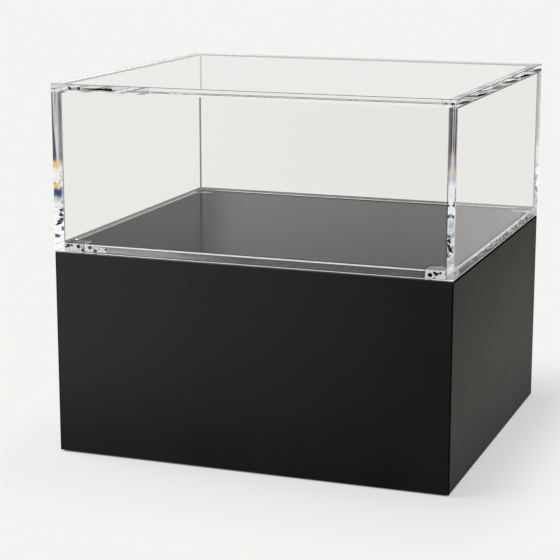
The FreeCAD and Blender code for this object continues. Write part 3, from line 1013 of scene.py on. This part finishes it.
@dataclass
class ClearCover:
    """The five-sided clear cover with its seams, rim strips and corner blocks.

    rest_gap keeps the cover off the plinth's rim, bond_gap a strip or block off its wall, and skin a bead of glue
    off the sheet. A seam's film starts seam_inset inside the outer faces and stops seam_stop short of the inner
    ones. A film behind a face lies face_inset behind it, or glue_inset in a strip or block.
    """

    half_width: float
    half_depth: float
    foot: float
    top: float
    sheet: float
    arris: float = 0.0006
    rest_gap: float = 0.00015
    bond_gap: float = 0.00010
    skin: float = 0.00005
    film_depth: float = 0.00006
    seam_inset: float = 0.0006
    seam_stop: float = 0.0002
    face_inset: float = 0.0012
    glue_inset: float = 0.0004
    fillet: float = 0.0012
    back_fillet: float = 0.0019
    top_fillet: float = 0.0019
    fillet_foot: float = 0.0102
    bead_height: float = 0.0026
    bead_width: float = 0.0013
    strip_arris: float = 0.0014
    bold_arris: float = 0.0021
    strip_end: float = 0.001
    strip_edge: float = 0.0007
    haze_drop: float = 0.0020
    spill_ends: Pair = (0.0005, 0.030)
    spill_drops: Pair = (0.0012, 0.003)
    block_radius: float = 0.005
    block_facets: int = 6

    @classmethod
    def from_frame(cls) -> "ClearCover":
        """Read the cover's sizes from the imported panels."""
        low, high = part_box("cover_top_panel")
        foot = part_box("cover_front_panel")[0].z
        return cls(half_width=high.x, half_depth=high.y, foot=foot, top=high.z, sheet=high.z - low.z)

    def build(self) -> None:
        """Make every clear piece and tie it to the cover."""
        clear = ClearAcrylic("clear_acrylic").material()
        inside = ClearAcrylic("clear_acrylic_inside", mirrors=False).material()
        frosted = FrostedAcrylic().material()
        # The top's edges are dark grey, painted shade for the dark line along them.
        shaded = FrostedAcrylic("shaded_arris", white=(0.14, 0.14, 0.14), grey=(0.08, 0.08, 0.08), clear_inside=True)
        self.shell([clear, inside, frosted, shaded.material()])
        self.seams()
        self.fillets()
        self.bond_films()
        gleaming = FrostedAcrylic("gleaming_arris", gleam=0.95).material()
        for side in SIDES:
            sides = inside if side == "right" else clear
            arris = frosted if side in ("front", "back") else gleaming
            self.rim_strip(side, [sides, arris, inside])
        for corner in CORNERS:
            self.corner_block(corner, [inside, frosted, clear])

    def ring(self, form: bmesh.types.BMesh, inset: float, height: float) -> list[bmesh.types.BMVert]:
        """Add the four corners of the cover's outline at a height.

        Args:
            form: The form to add to.
            inset: How far inside the outer faces they lie.
            height: Their height.

        Returns:
            The corners, anticlockwise from the front left.
        """
        return [form.verts.new(self.mark(corner, inset, height)) for corner in CORNERS]

    def mark(self, corner: str, inset: float, height: float) -> Vector:
        """Return a point in a corner of the cover, set in from both outer faces."""
        side, end = CORNERS[corner]
        return Vector((side * (self.half_width - inset), end * (self.half_depth - inset), height))

    def shell(self, faces: list[bpy.types.Material]) -> None:
        """Make the walls and the top as one bonded solid with eased outer edges and sawn feet.

        Args:
            faces: The finishes of the outer faces, the inner ones, the sawn feet and the top's edges in painted shade.
        """
        form = bmesh.new()
        foot, joint = self.foot + self.rest_gap, self.top - self.sheet
        outer_low, outer_high = self.ring(form, 0.0, foot), self.ring(form, 0.0, self.top)
        seam = self.ring(form, 0.0, joint)
        inner_low, inner_high = self.ring(form, self.sheet, foot), self.ring(form, self.sheet, joint)
        for index in range(len(CORNERS)):
            after = (index + 1) % len(CORNERS)
            form.faces.new((outer_low[index], outer_low[after], seam[after], seam[index]))
            edge = form.faces.new((seam[index], seam[after], outer_high[after], outer_high[index]))
            wall = form.faces.new((inner_low[after], inner_low[index], inner_high[index], inner_high[after]))
            sole = form.faces.new((outer_low[after], outer_low[index], inner_low[index], inner_low[after]))
            edge.material_index = wall.material_index = ShellFace.INNER
            sole.material_index = ShellFace.SAWN
        form.faces.new(outer_high).material_index = ShellFace.OUTER
        form.faces.new(list(reversed(inner_high))).material_index = ShellFace.INNER
        outside = set(outer_low + seam + outer_high)
        edges = [edge for edge in form.edges
                 if outside.issuperset(edge.verts) and not set(seam).issuperset(edge.verts)]
        bmesh.ops.recalc_face_normals(form, faces=form.faces)
        bmesh.ops.bevel(form, geom=edges, offset=self.arris, segments=1, affect="EDGES")
        # The top's eased edges take the dark grey of painted shade.
        for face in form.faces:
            slanted = SLANTED_RISE < face.normal.z < LEVEL_RISE
            if slanted and face.calc_center_median().z > self.top - self.arris:
                face.material_index = ShellFace.SCRAPED
        panels = ("cover_top_panel", *(f"cover_{side}_panel" for side in SIDES))
        settle(link_mesh("cover_shell", form, faces), Body.COVER, panels)

    def upright_film(self, corner: str) -> list[Vector]:
        """Lay out the film in one upright seam.

        Args:
            corner: The seam's corner.

        Returns:
            The film's corners, the first two up its outer edge.
        """
        near, far = self.seam_inset, self.sheet - self.seam_stop
        foot, joint = self.foot + self.seam_inset, self.top - self.sheet - self.seam_stop
        return [self.mark(corner, near, foot), self.mark(corner, near, joint),
                self.mark(corner, far, joint), self.mark(corner, far, foot)]

    def top_film(self, side: str) -> list[Vector]:
        """Lay out the film along one edge of the top.

        Args:
            side: The edge's side.

        Returns:
            The film's corners, the first two along its outer edge.
        """
        first, second = SIDES[side]
        near, far = self.seam_inset, self.sheet - self.seam_stop
        high, low = self.top - near, self.top - far
        return [self.mark(first, near, high), self.mark(second, near, high),
                self.mark(second, far, low), self.mark(first, far, low)]

    def seams(self) -> None:
        """Lay a thin film of glue in each seam, from its outer to its inner corner, most with painted light.

        The films at the top's right edge lie just behind the outer faces.
        """
        near, far = self.seam_inset, self.sheet - self.seam_stop
        high, low = self.top - near, self.top - far
        outer, inner, deep = self.half_width - near, self.half_width - far, self.half_depth - near
        edge, face, under = (reach - self.face_inset for reach in (self.half_width, self.half_depth, self.top))
        right_edge = pane((edge, -deep, low), (edge, deep, high))
        front_corner = pane((inner, -face, low), (outer, -face, high))
        right_joint = [Vector((x, y, under)) for x, y in (
            (outer - self.face_inset, -deep), (outer - self.face_inset, deep), (inner, deep), (inner, -deep))]
        # Uprights and the top's front and right edges: films with painted highlights, glints and dark reflections.
        for name, film, glue in (
                ("upright_front_left", self.upright_film("front_left"),
                 SeamGlueAndPaintedLight("glue_and_light_front_left", Film.UPRIGHT, bright=(0.41, 0.53))),
                ("upright_front_right", self.upright_film("front_right"),
                 SeamGlueAndPaintedLight("glue_and_light_front_right", Film.UPRIGHT, bright=(0.36, 0.61), fringe=(0.45, 0.2), clear_foot=0.12)),
                ("upright_back_right", self.upright_film("back_right"),
                 SeamGlueAndPaintedLight("glue_and_light_back_right", Film.UPRIGHT, bright=(0.38, 0.50), fringe=(0.3, 0.2))),
                ("upright_back_left", self.upright_film("back_left"),
                 SeamGlueAndPaintedLight("glue_and_light_back_left", Film.UPRIGHT, strength=0.22, fringe=(0.3, 0.2))),
                ("top_front", self.top_film("front"), SeamGlueAndPaintedLight("glue_and_light_top_front", Film.MARKED)),
                ("top_back", self.top_film("back"), SeamGlueAndPaintedLight("glue_top_back", Film.CLEAN, line=0.08)),
                ("top_left", self.top_film("left"), SeamGlueAndPaintedLight("glue_top_left", Film.CLEAN, line=0.06)),
                ("top_right", right_edge, SeamGlueAndPaintedLight("glue_and_light_top_right", Film.WEDGE)),
                ("top_right_joint", right_joint, SeamGlueAndPaintedLight("glue_and_light_top_right_joint", Film.STEP)),
                ("top_corner", front_corner, SeamGlueAndPaintedLight("glue_top_corner", Film.DOT))):
            self.film_piece(f"cover_seam_{name}", glue, [film])

    def fillets(self) -> None:
        """Run beads of glue up the inner corners, under the top's side and back edges, and over two of the strips.

        The beads under the top's back and left edges are darker, painted shade for the dark line along them; the beads
        over two of the strips also paint the dark band of shade at those walls' feet.
        """
        wall, high = self.sheet + self.skin, self.top - self.sheet - self.skin
        foot = self.foot + self.fillet_foot
        form, dark_form = bmesh.new(), bmesh.new()
        layer, dark_layer = (each.loops.layers.uv.new(SEAM_MAP) for each in (form, dark_form))
        for edge, (corner, after) in SIDES.items():
            side, end = CORNERS[corner]
            leg = self.fillet if end < 0 else self.back_fillet
            root = self.mark(corner, wall, foot)
            profile = [root, root - Vector((side * leg, 0.0, 0.0)), root - Vector((0.0, end * leg, 0.0))]
            self.film(form, layer, profile, UP * (high - foot))
            if edge == "front":
                continue
            # The beads under the top's back and left edges are dark grey, painted shade for the dark line along them.
            dark = edge in ("back", "left")
            leg = self.top_fillet if dark else self.fillet
            start, stop = self.mark(corner, wall + leg, high), self.mark(after, wall + leg, high)
            inward = UP.cross(stop - start).normalized() * leg
            profile = [start - inward, start, start - inward - UP * leg]
            target = (dark_form, dark_layer) if dark else (form, layer)
            self.film(*target, profile, stop - start)
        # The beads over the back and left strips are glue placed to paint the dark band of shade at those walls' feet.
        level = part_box("cover_rim_strip_left")[1].z + self.seam_stop
        clearance = self.back_fillet + self.bond_gap
        for edge in ("back", "left"):
            start, stop = (self.mark(corner, wall, level) for corner in SIDES[edge])
            way = (stop - start).normalized()
            start, stop = start + way * clearance, stop - way * clearance
            profile = [start, start + UP.cross(way) * self.bead_width, start + UP * self.bead_height]
            self.film(form, layer, profile, stop - start)
        for name, shape, glue in (
                ("cover_glue_fillets", form, SeamGlueAndPaintedLight("glue_fillet", Film.FILLET, strength=0.9)),
                ("cover_top_shade_beads", dark_form, SeamGlueAndPaintedLight("glue_top_shade_bead", Film.FILLET, tones=(0.08, 0.20)))):
            settle(link_mesh(name, shape, [glue.material()]), Body.COVER)

    def film(self, form: bmesh.types.BMesh, layer: object, outline: list[Vector], depth: Vector) -> None:
        """Add one run of glue to a form and map it along and across its first face.

        Args:
            form: The form to add to.
            layer: The form's seam map.
            outline: The corners of one face, in order, the first two along the run.
            depth: The way from that face to the other.
        """
        way, over = outline[1] - outline[0], outline[-1] - outline[0]
        over = over - way * (over.dot(way) / way.length_squared)
        start = len(form.faces)
        slab(form, outline, depth)
        form.faces.ensure_lookup_table()
        for face in form.faces[start:]:
            for loop in face.loops:
                offset = loop.vert.co - outline[0]
                loop[layer].uv = (offset.dot(way) / way.length_squared, offset.dot(over) / over.length_squared)

    def film_piece(self, name: str, glue: SeamGlueAndPaintedLight, outlines: list[list[Vector]]) -> None:
        """Make one piece from flat films of the same glue.

        Args:
            name: The piece's name.
            glue: How the glue looks.
            outlines: The corners of each film.
        """
        form = bmesh.new()
        layer = form.loops.layers.uv.new(SEAM_MAP)
        for outline in outlines:
            normal = (outline[1] - outline[0]).cross(outline[-1] - outline[0]).normalized()
            self.film(form, layer, outline, normal * self.film_depth)
        settle(link_mesh(name, form, [glue.material()]), Body.COVER)

    def bond_films(self) -> None:
        """Lay glue with painted dark flecks behind the blocks' outer faces, and streaked or hazy glue in the strips."""
        inset, end, edge = self.glue_inset, self.strip_end, self.strip_edge
        flecked = []
        for corner, (side, way) in CORNERS.items():
            low, high = self.inset_box(f"cover_corner_block_{corner}")
            x = high.x - inset if side > 0 else low.x + inset
            y = high.y - inset if way > 0 else low.y + inset
            near, far = low + Vector((inset,) * 3), high - Vector((inset,) * 3)
            flecked.append(pane((near.x + inset, y, near.z), (far.x - inset, y, far.z)))
            flecked.append(pane((x, near.y + inset, near.z), (x, far.y - inset, far.z)))
        # The blocks' glue runs on along the front strip from its left end, with the same painted flecks.
        low, high = self.inset_box("cover_rim_strip_front")
        start, stop = (low.x + offset for offset in self.spill_ends)
        start_top, stop_top = (high.z - drop for drop in self.spill_drops)
        spill = [Vector((x, low.y + inset, z)) for x, z in (
            (start, low.z + end), (stop, low.z + end), (stop, stop_top), (start, start_top))]
        self.film_piece("cover_block_glue_and_light", SeamGlueAndPaintedLight("glue_and_light_blocks", Film.FLECK, milk=1.0), [*flecked, spill])
        # The right strip's glue carries painted reflections: fine lines and dark specks.
        for side, glue in (("left", SeamGlueAndPaintedLight("glue_strip_left", Film.CLOUD)),
                           ("right", SeamGlueAndPaintedLight("glue_and_light_strip_right", Film.PATCH, milk=1.0))):
            low, high = self.inset_box(f"cover_rim_strip_{side}")
            x = high.x - inset if side == "right" else low.x + inset
            streaked = pane((x, low.y + end, low.z + edge), (x, high.y - end, high.z - edge))
            self.film_piece(f"cover_strip_glue_and_light_{side}", glue, [streaked])
        clouded = []
        for side in ("front", "back"):
            low, high = self.inset_box(f"cover_rim_strip_{side}")
            y = high.y - inset if side == "back" else low.y + 2.0 * inset
            clouded.append(pane((low.x + end, y, low.z + edge), (high.x - end, y, high.z - self.haze_drop)))
        self.film_piece("cover_strip_haze", SeamGlueAndPaintedLight("glue_haze", Film.CLOUD, milk=0.10), clouded)

    def inset_box(self, name: str) -> tuple[Vector, Vector]:
        """Read a bonded node's box, drawn in by the bond's gap and raised off the rim.

        Args:
            name: The node.

        Returns:
            The box's lowest and highest corner.
        """
        low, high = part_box(name)
        gap = Vector((self.bond_gap, self.bond_gap, 0.0))
        return low + gap + Vector((0.0, 0.0, self.rest_gap)), high - gap

    def rim_strip(self, side: str, faces: list[bpy.types.Material]) -> None:
        """Make one clear strip at the foot of a wall, with its upper edges eased.

        Args:
            side: The wall's side.
            faces: The finishes of its sides, its upper arrises and its top.
        """
        name = f"cover_rim_strip_{side}"
        low, high = self.inset_box(name)
        form = bmesh.new()
        corners = [Vector((x, y, low.z)) for x, y in (
            (low.x, low.y), (high.x, low.y), (high.x, high.y), (low.x, high.y))]
        slab(form, corners, UP * (high.z - low.z))
        bmesh.ops.recalc_face_normals(form, faces=form.faces)
        rims = [edge for edge in form.edges if min(vertex.co.z for vertex in edge.verts) > high.z - SAME_HEIGHT]
        leg = self.bold_arris if side == "right" else self.strip_arris
        bmesh.ops.bevel(form, geom=rims, offset=leg, segments=1, affect="EDGES")
        for face in form.faces:
            if face.normal.z > LEVEL_RISE:
                face.material_index = EasedFace.TOP
            elif face.normal.z > SLANTED_RISE:
                face.material_index = EasedFace.ARRIS
            else:
                face.material_index = EasedFace.SIDE
        settle(link_mesh(f"{name}_clear", form, faces), Body.COVER, (name,))

    def corner_block(self, corner: str, faces: list[bpy.types.Material]) -> None:
        """Make one clear corner block, rounded where it enters the deck, with frosted arrises.

        Args:
            corner: The block's corner.
            faces: The finishes of its sides, its scraped arrises and its top.
        """
        name = f"cover_corner_block_{corner}"
        low, high = self.inset_box(name)
        middle, reach = (low + high) / 2, (high - low) / 2
        inward = tuple(-sign for sign in CORNERS[corner])
        radius = self.block_radius - self.bond_gap
        turns = [math.radians(90.0 * step / self.block_facets) for step in range(self.block_facets + 1)]
        corners = []
        for side, end in CORNERS.values():
            if (side, end) == inward:
                hub = Vector((middle.x + side * (reach.x - radius), middle.y + end * (reach.y - radius)))
                arc = [Vector((hub.x + side * radius * math.cos(turn), hub.y + end * radius * math.sin(turn), low.z))
                       for turn in turns]
                corners.extend(arc if side * end > 0 else reversed(arc))
            else:
                corners.append(Vector((middle.x + side * reach.x, middle.y + end * reach.y, low.z)))
        form = bmesh.new()
        slab(form, corners, UP * (high.z - low.z))
        bmesh.ops.recalc_face_normals(form, faces=form.faces)
        rims = [edge for edge in form.edges if abs(edge.verts[0].co.z - edge.verts[1].co.z) < SAME_HEIGHT]
        eased = bmesh.ops.bevel(form, geom=rims, offset=self.arris, segments=1, affect="EDGES")
        for face in eased["faces"]:
            face.material_index = EasedFace.ARRIS
        for face in form.faces:
            if face.normal.z > LEVEL_RISE:
                face.material_index = EasedFace.TOP
        settle(link_mesh(f"{name}_clear", form, faces), Body.COVER, (name,))


@dataclass
class Plinth:
    """The black plinth: its panels and deck keep their CAD shapes, and so does what they hide."""

    panels: tuple[str, ...] = tuple(f"plinth_{side}_panel" for side in SIDES)
    posts: tuple[str, ...] = tuple(f"plinth_corner_post_{corner}" for corner in CORNERS)
    pads: tuple[str, ...] = tuple(f"foot_pad_{corner}" for corner in CORNERS)
    arris: float = 0.0008
    shade_band: float = 0.0008
    top_line: float = 0.0024
    line_depth: float = 0.00006

    def build(self) -> None:
        """Dress the plinth's CAD nodes and line its arrises with painted shade."""
        dress(self.panels, BlackLacquer("black_lacquer").material())
        self.arris_shade_lines()
        deck = BlackLacquer("black_deck", deep=(0.012, 0.012, 0.0117), pale=(0.016, 0.016, 0.0156),
                            sheen=(0.10, 0.14), shine_level=0.038, peel_scale=160.0, peel=0.0004)
        dress(("display_deck",), deck.material())
        dress(("plinth_top_board",), BlackLacquer("black_board", sheen=(0.70, 0.80)).material())
        dress(("plinth_bottom_board",), RawTimber("raw_board").material())
        dress(self.posts, RawTimber("post_timber", SOFTWOOD_PALE, SOFTWOOD_DARK, Grain.UPRIGHT).material())
        for sides, grain in ((("front", "back"), Grain.ALONG_X), (("left", "right"), Grain.ALONG_Y)):
            finish = RawTimber(f"cleat_timber_{grain.name.lower()}", SOFTWOOD_PALE, SOFTWOOD_DARK, grain)
            dress(tuple(f"top_cleat_{side}" for side in sides), finish.material())
        dress(self.pads, PadRubber().material())

    def arris_shade_lines(self) -> None:
        """Lay a dull black line of painted shade round each upright corner and along the sides' top edges."""
        low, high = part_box("plinth_front_panel")[0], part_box("plinth_right_panel")[1]
        half_width, half_depth = high.x, -low.y
        rise = UP * (high.z - self.arris - low.z)
        form = bmesh.new()
        for side, end in CORNERS.values():
            corner = Vector((side * half_width, end * half_depth, low.z))
            across, deep = Vector((-side, 0.0, 0.0)), Vector((0.0, -end, 0.0))
            run = [corner + across * (self.arris + self.shade_band), corner + across * self.arris,
                   corner + deep * self.arris, corner + deep * (self.arris + self.shade_band)]
            away = (-deep, (-across - deep).normalized(), -across)
            for first, second, out in zip(run, run[1:], away):
                slab(form, [first, second, second + rise, first + rise], out * self.line_depth)
        start, stop = -half_depth + self.arris + self.shade_band, half_depth - self.arris - self.shade_band
        for side in (-1, 1):
            run = [(half_width, high.z - self.top_line), (half_width, high.z - self.arris),
                   (half_width - self.arris, high.z)]
            away = (Vector((side, 0.0, 0.0)), Vector((side, 0.0, 1.0)).normalized())
            for (first, lower), (second, upper), out in zip(run, run[1:], away):
                slab(form, [Vector((side * first, start, lower)), Vector((side * first, stop, lower)),
                            Vector((side * second, stop, upper)), Vector((side * second, start, upper))],
                     out * self.line_depth)
        # Black lacquer with no shine, so the lines read as painted shade on the arrises.
        dull = BlackLacquer("black_arris_shade", deep=(0.005, 0.005, 0.005), pale=(0.008, 0.008, 0.008),
                            sheen=(0.80, 0.90), shine_level=0.0)
        settle(link_mesh("plinth_arris_shade_lines", form, [dull.material()]), Body.PLINTH)


@dataclass
class ScrewSet:
    """Countersunk wood screws, set out from one Geometry Nodes tree.

    The slot's length and width are shares of the head's width, and its depth is a share of the head's height, half of
    it outside the face. The point's length and the core's and the thread's radius are shares of the shank's width.
    """

    name: str
    node: str
    length: float
    head_width: float = 0.0078
    head_height: float = 0.0023
    shank_width: float = 0.0030
    thread_pitch: float = 0.0016
    slot_length: float = 0.52
    slot_width: float = 0.11
    slot_depth: float = 1.1
    point_length: float = 1.6
    point_radius: float = 0.0002
    core_radius: float = 0.36
    thread_radius: float = 0.14
    play: float = 0.0001
    head_facets: int = 32
    shank_facets: int = 20
    turn_facets: int = 14
    thread_facets: int = 4
    seed: int = 7

    def points(self) -> list[Point]:
        """Return where each head's face lies, from the node's solids."""
        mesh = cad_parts[self.node].data
        face = min(vertex.co.z for vertex in mesh.vertices)
        low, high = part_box(self.node)
        inset = self.head_width / 2 + self.play
        return [(x, y, face) for x in (low.x + inset, high.x - inset) for y in (low.y + inset, high.y - inset)]

    def tree(self, material: bpy.types.Material) -> bpy.types.GeometryNodeTree:
        """Build the tree that sets a screw with a cross recess and a thread on every point.

        Args:
            material: The screws' plating.

        Returns:
            The tree.
        """
        tree = bpy.data.node_groups.new(f"{self.name}_tree", "GeometryNodeTree")
        face = tree.interface
        face.new_socket("Points", in_out="INPUT", socket_type="NodeSocketGeometry")
        for label in ("Length", "Head width", "Head height", "Shank width", "Thread pitch"):
            face.new_socket(label, in_out="INPUT", socket_type="NodeSocketFloat")
        face.new_socket("Seed", in_out="INPUT", socket_type="NodeSocketInt")
        face.new_socket("Screws", in_out="OUTPUT", socket_type="NodeSocketGeometry")
        nodes = NodeTree(tree)
        given = nodes.add("NodeGroupInput").outputs
        screw = nodes.add("GeometryNodeJoinGeometry")
        for piece in (self.head(nodes, given), *self.shank(nodes, given)):
            tree.links.new(piece.outputs[0], screw.inputs[0])
        turn = nodes.add("FunctionNodeRandomValue", {3: 2.0 * math.pi, "Seed": given["Seed"]}, data_type="FLOAT")
        spread = nodes.add("GeometryNodeInstanceOnPoints", {
            "Points": given["Points"], "Instance": screw.outputs[0], "Rotation": nodes.upward(turn.outputs[1])})
        real = nodes.add("GeometryNodeRealizeInstances", {"Geometry": spread.outputs[0]})
        plated = nodes.add("GeometryNodeSetMaterial", {"Geometry": real.outputs[0], "Material": material})
        nodes.add("NodeGroupOutput", {"Screws": plated.outputs[0]})
        return tree

    def head(self, nodes: NodeTree, given: bpy.types.NodeOutputs) -> bpy.types.Node:
        """Make a countersunk head with a cross recess.

        Args:
            nodes: The tree to build in.
            given: The tree's inputs.

        Returns:
            The node that gives the head.
        """
        width, height = given["Head width"], given["Head height"]
        cone = nodes.add("GeometryNodeMeshCone", {
            "Vertices": self.head_facets, "Radius Bottom": nodes.times(width, 0.5),
            "Radius Top": nodes.times(given["Shank width"], 0.5), "Depth": height})
        length, slot = nodes.times(width, self.slot_length), nodes.times(width, self.slot_width)
        depth = nodes.times(height, self.slot_depth)
        recess = nodes.add("GeometryNodeJoinGeometry")
        for across, deep in ((length, slot), (slot, length)):
            size = nodes.add("ShaderNodeCombineXYZ", {"X": across, "Y": deep, "Z": depth}).outputs[0]
            bar = nodes.add("GeometryNodeMeshCube", {"Size": size})
            nodes.tree.links.new(bar.outputs["Mesh"], recess.inputs[0])
        return nodes.add("GeometryNodeMeshBoolean", {"Mesh 1": cone.outputs["Mesh"], "Mesh 2": recess.outputs[0]},
                         operation="DIFFERENCE", solver="EXACT")

    def shank(self, nodes: NodeTree, given: bpy.types.NodeOutputs) -> list[bpy.types.Node]:
        """Make a shank with a point and a thread.

        Args:
            nodes: The tree to build in.
            given: The tree's inputs.

        Returns:
            The nodes that give the shank, the point and the thread.
        """
        width, start = given["Shank width"], given["Head height"]
        tip_length = nodes.times(width, self.point_length)
        run = nodes.math("SUBTRACT", nodes.math("SUBTRACT", given["Length"], start), tip_length)
        core = nodes.times(width, self.core_radius)
        bar = nodes.add("GeometryNodeMeshCone", {
            "Vertices": self.shank_facets, "Radius Bottom": core, "Radius Top": core, "Depth": run})
        tip = nodes.add("GeometryNodeMeshCone", {
            "Vertices": self.shank_facets, "Radius Bottom": core, "Radius Top": self.point_radius,
            "Depth": tip_length})
        helix = nodes.add("GeometryNodeCurveSpiral", {
            "Resolution": self.turn_facets, "Rotations": nodes.math("DIVIDE", run, given["Thread pitch"]),
            "Start Radius": core, "End Radius": core, "Height": run})
        profile = nodes.add("GeometryNodeCurvePrimitiveCircle", {
            "Resolution": self.thread_facets, "Radius": nodes.times(width, self.thread_radius)}, mode="RADIUS")
        thread = nodes.add("GeometryNodeCurveToMesh", {
            "Curve": helix.outputs["Curve"], "Profile Curve": profile.outputs["Curve"], "Fill Caps": True})
        places = ((bar, start), (tip, nodes.math("ADD", start, run)), (thread, start))
        return [nodes.add("GeometryNodeTransform", {
            "Geometry": piece.outputs["Mesh"], "Translation": nodes.upward(place)}) for piece, place in places]

    def build(self, material: bpy.types.Material) -> None:
        """Set the screws out, turn them into a plain mesh and tie it to the plinth.

        Args:
            material: The screws' plating.
        """
        mesh = bpy.data.meshes.new(self.name)
        mesh.from_pydata(self.points(), [], [])
        piece = bpy.data.objects.new(self.name, mesh)
        bpy.context.scene.collection.objects.link(piece)
        tree = self.tree(material)
        modifier = piece.modifiers.new("screws", "NODES")
        modifier.node_group = tree
        sizes = {"Length": self.length, "Head width": self.head_width, "Head height": self.head_height,
                 "Shank width": self.shank_width, "Thread pitch": self.thread_pitch, "Seed": self.seed}
        for item in tree.interface.items_tree:
            if item.in_out == "INPUT" and item.name in sizes:
                modifier[item.identifier] = sizes[item.name]
        depsgraph = bpy.context.evaluated_depsgraph_get()
        plain = bpy.data.meshes.new_from_object(piece.evaluated_get(depsgraph))
        piece.modifiers.remove(modifier)
        piece.data = plain
        plain.name = self.name
        settle(piece, Body.PLINTH, (self.node,))


@dataclass
class Studio:
    """The floor, the light and the camera.

    The fades say where the backdrop darkens, seen in or through the case: overhead, to the right and high on the
    left. They are read from the way that a ray runs, and the levels say how dark it gets.
    """

    floor_half: float = 8.0
    key_place: Point = (-1.30, -0.50, 2.3)
    key_aim: Point = (0.0, 0.0, 0.2)
    key_size: float = 1.7
    key_power: float = 50.0
    ambient: float = 0.35
    backdrop: Colour = BACKDROP
    overhead_fade: Pair = (0.32, 0.75)
    overhead_level: float = 0.30
    side_fade: Pair = (-0.15, 0.35)
    side_levels: Pair = (0.95, 0.80)
    left_fade: Pair = (-0.378, -0.362)
    left_level: float = 0.48
    low_fade: Pair = (0.13, 0.155)
    bounces: int = 140
    camera_place: Point = (0.72095, -2.0781, 0.6761)
    camera_yaw: float = 20.113
    camera_pitch: float = 12.420
    lens: float = 111.45
    sensor: float = 36.0

    def build(self) -> None:
        """Make the floor, the world, the lamp and the camera."""
        self.floor()
        self.world()
        self.key_lamp()
        self.camera()
        scene = bpy.context.scene
        scene.view_settings.view_transform = "Standard"
        # Light runs far along the clear sheets before it leaves them.
        scene.cycles.max_bounces = self.bounces
        scene.cycles.transmission_bounces = self.bounces
        scene.cycles.glossy_bounces = self.bounces
        scene.cycles.transparent_max_bounces = self.bounces

    def floor(self) -> None:
        """Lay the pale floor."""
        form = bmesh.new()
        reach = self.floor_half
        form.faces.new([form.verts.new((side * reach, end * reach, 0.0)) for side, end in CORNERS.values()])
        link_mesh("studio_floor", form, [PaleFloor(backdrop=self.backdrop).material()])

    def world(self) -> None:
        """Surround the case with a pale backdrop that darkens overhead, and an even light."""
        world = bpy.data.worlds.new("studio")
        bpy.context.scene.world = world
        world.use_nodes = True
        nodes = NodeTree(world.node_tree)
        way = nodes.add("ShaderNodeTexCoord").outputs["Generated"]
        axes = nodes.add("ShaderNodeSeparateXYZ", {0: way}).outputs
        straight = nodes.add("ShaderNodeLightPath").outputs["Is Camera Ray"]
        overhead = nodes.band(axes[2], *self.overhead_fade, 1.0, self.overhead_level)
        sideways = nodes.band(axes[0], *self.side_fade, *self.side_levels)
        leftward = nodes.band(axes[0], *self.left_fade, self.left_level, 1.0)
        low_left = nodes.math("MAXIMUM", leftward, nodes.fade(axes[2], *self.low_fade))
        shade = nodes.times(nodes.times(overhead, sideways), low_left)
        seen = nodes.math("MAXIMUM", shade, straight)
        backdrop = nodes.add("ShaderNodeBackground", {"Color": self.backdrop, "Strength": seen})
        light = nodes.add("ShaderNodeBackground", {"Color": (1.0, 1.0, 1.0), "Strength": self.ambient})
        nodes.add("ShaderNodeOutputWorld", {"Surface": nodes.mixed(nodes.sight(), light, backdrop).outputs[0]})

    def key_lamp(self) -> None:
        """Hang one large soft lamp above, to the left and a little in front."""
        lamp = bpy.data.lights.new("key_lamp", "AREA")
        lamp.energy = self.key_power
        lamp.size = self.key_size
        holder = bpy.data.objects.new("key_lamp", lamp)
        holder.location = self.key_place
        aim = Vector(self.key_aim) - Vector(self.key_place)
        holder.rotation_euler = aim.to_track_quat("-Z", "Y").to_euler()
        bpy.context.scene.collection.objects.link(holder)

    def camera(self) -> None:
        """Set the camera at the photograph's viewing angle."""
        lens = bpy.data.cameras.new("camera")
        lens.sensor_width = self.sensor
        lens.lens = self.lens
        holder = bpy.data.objects.new("camera", lens)
        holder.location = self.camera_place
        holder.rotation_euler = Euler((math.radians(90.0 - self.camera_pitch), 0.0, math.radians(self.camera_yaw)))
        bpy.context.scene.collection.objects.link(holder)
        bpy.context.scene.camera = holder


def main() -> None:
    """Build the case's pieces in order, then the studio around them."""
    logging.basicConfig(level=logging.INFO, format="%(name)s: %(message)s")
    ClearCover.from_frame().build()
    Plinth().build()
    plating = ZincSteel().material()
    ScrewSet("deck_screw_set", "deck_screws", length=0.0248).build(plating)
    ScrewSet("bottom_screw_set", "bottom_board_screws", length=0.0318).build(plating)
    Studio().build()


if __name__ == "__main__":
    main()
